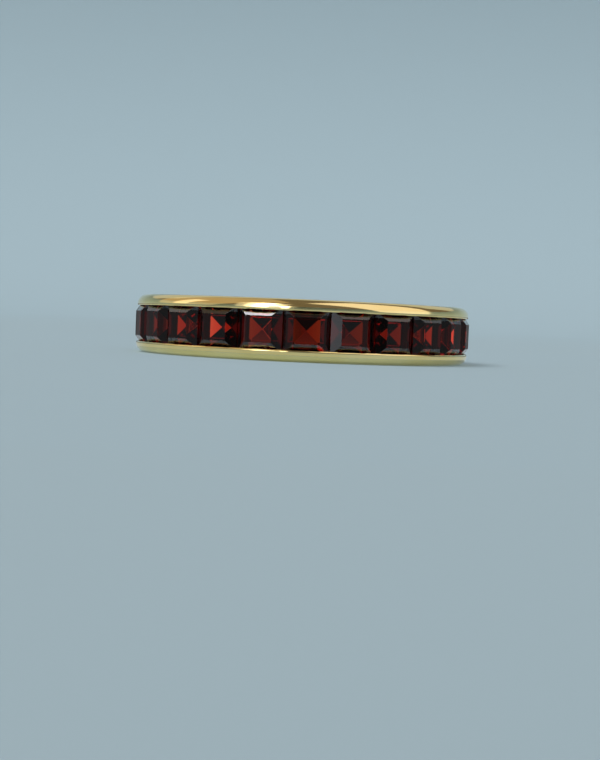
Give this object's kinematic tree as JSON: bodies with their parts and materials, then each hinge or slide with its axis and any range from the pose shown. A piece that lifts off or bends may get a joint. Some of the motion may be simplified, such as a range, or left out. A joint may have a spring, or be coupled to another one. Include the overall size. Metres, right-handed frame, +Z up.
{
  "type": "stackable ring",
  "caption": "Slim eternity ring for stacking: square dark red stones side by side in a channel between two plain polished gold rails, with an open back.",
  "frame": {"origin": "on the ring's axis, in the plane of its lower side face, on which it lies", "axes": "+Z up along the ring's axis; -Y through the middle of the stone garnet_01"},
  "size_m": [0.0204, 0.0204, 0.0035],
  "materials": {
    "gold": "high-polished yellow gold plating on silver",
    "garnet": "clear dark red garnet with polished facets"
  },
  "bodies": {
    "root": {"band": "gold", "garnet_01": "garnet", "garnet_02": "garnet", "garnet_03": "garnet", "garnet_04": "garnet", "garnet_05": "garnet", "garnet_06": "garnet", "garnet_07": "garnet", "garnet_08": "garnet", "garnet_09": "garnet", "garnet_10": "garnet", "garnet_11": "garnet", "garnet_12": "garnet", "garnet_13": "garnet", "garnet_14": "garnet", "garnet_15": "garnet", "garnet_16": "garnet", "garnet_17": "garnet", "garnet_18": "garnet", "garnet_19": "garnet", "garnet_20": "garnet", "garnet_21": "garnet", "garnet_22": "garnet", "garnet_23": "garnet", "garnet_24": "garnet"}
  },
  "joints": []
}
